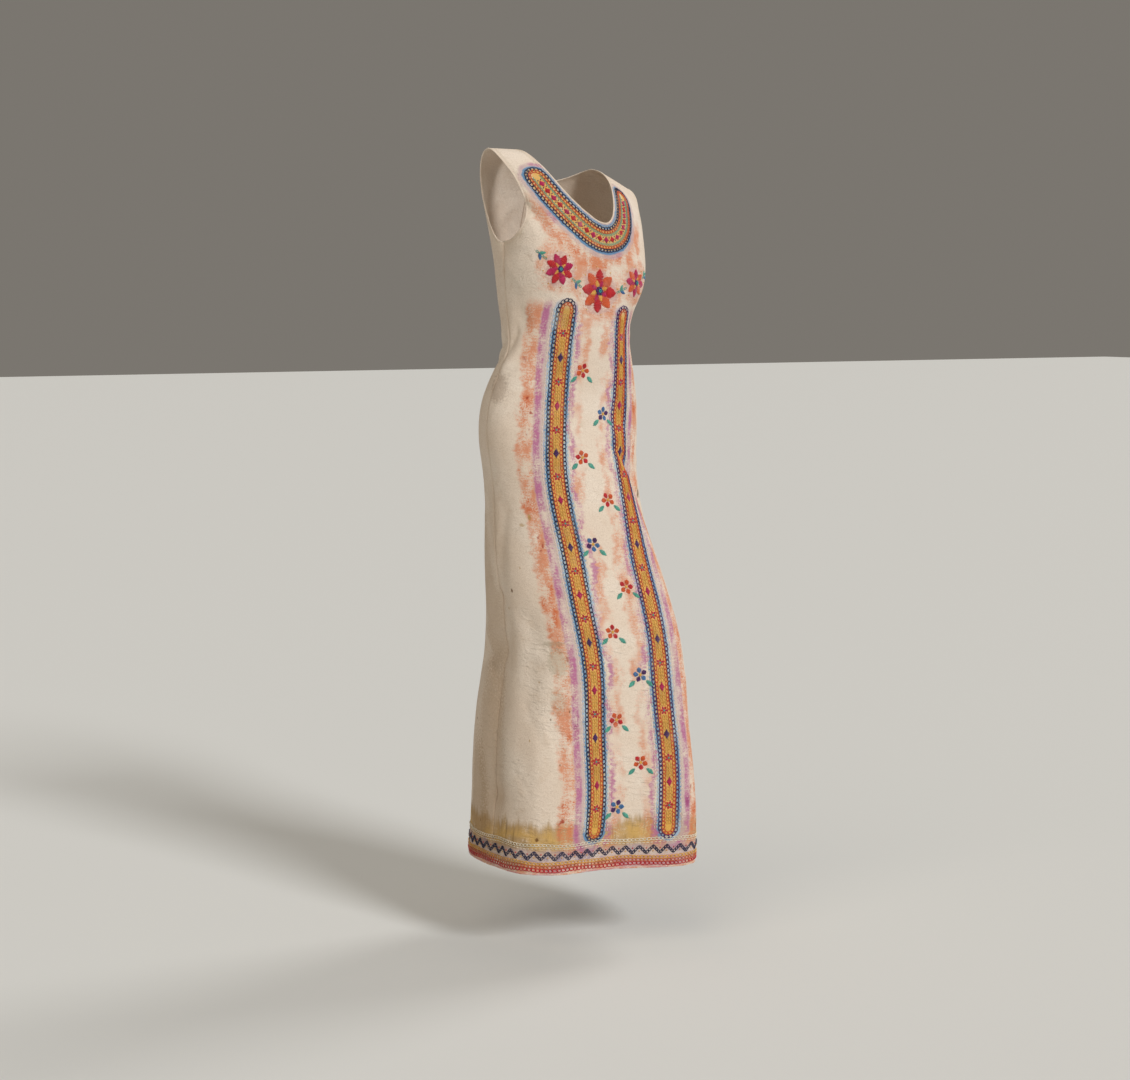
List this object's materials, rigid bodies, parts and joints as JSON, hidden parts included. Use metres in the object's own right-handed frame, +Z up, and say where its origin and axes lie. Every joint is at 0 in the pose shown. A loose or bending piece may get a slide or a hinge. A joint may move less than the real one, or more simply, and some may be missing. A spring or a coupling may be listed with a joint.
{
  "type": "sleeveless maxi dress",
  "caption": "Sleeveless ankle-length dress in heavy cotton with a scooped neck and a centre-back zip, hollow in its worn pose.",
  "frame": {"origin": "midway between the shoulders, on the line where the wearer's shoulders carry the dress", "axes": "+Z up; the front of the skirt faces -Y; the wearer's left is +X"},
  "size_m": [0.3993, 0.4018, 1.3318],
  "materials": {
    "canvas_front": "brushed heavy cotton",
    "canvas_back_left": "brushed heavy cotton",
    "canvas_back_right": "brushed heavy cotton",
    "zip_tape": "woven cotton tape",
    "slider_metal": "worn brass",
    "pull_metal": "worn brass"
  },
  "bodies": {
    "dress": {"front_panel": "canvas_front", "back_panel_left": "canvas_back_left", "back_panel_right": "canvas_back_right", "zip_chain": "zip_tape", "zip_slider": "slider_metal"},
    "pull_tab": {"zip_pull": "pull_metal"}
  },
  "joints": [
    {"name": "pull_tab_hinge", "type": "hinge", "parent": "dress", "child": "pull_tab", "pos_m": [-0.01338, 0.07822, -0.03585], "axis": [0.9948, 0.0934, -0.0413], "range_deg": [0, 150]}
  ]
}
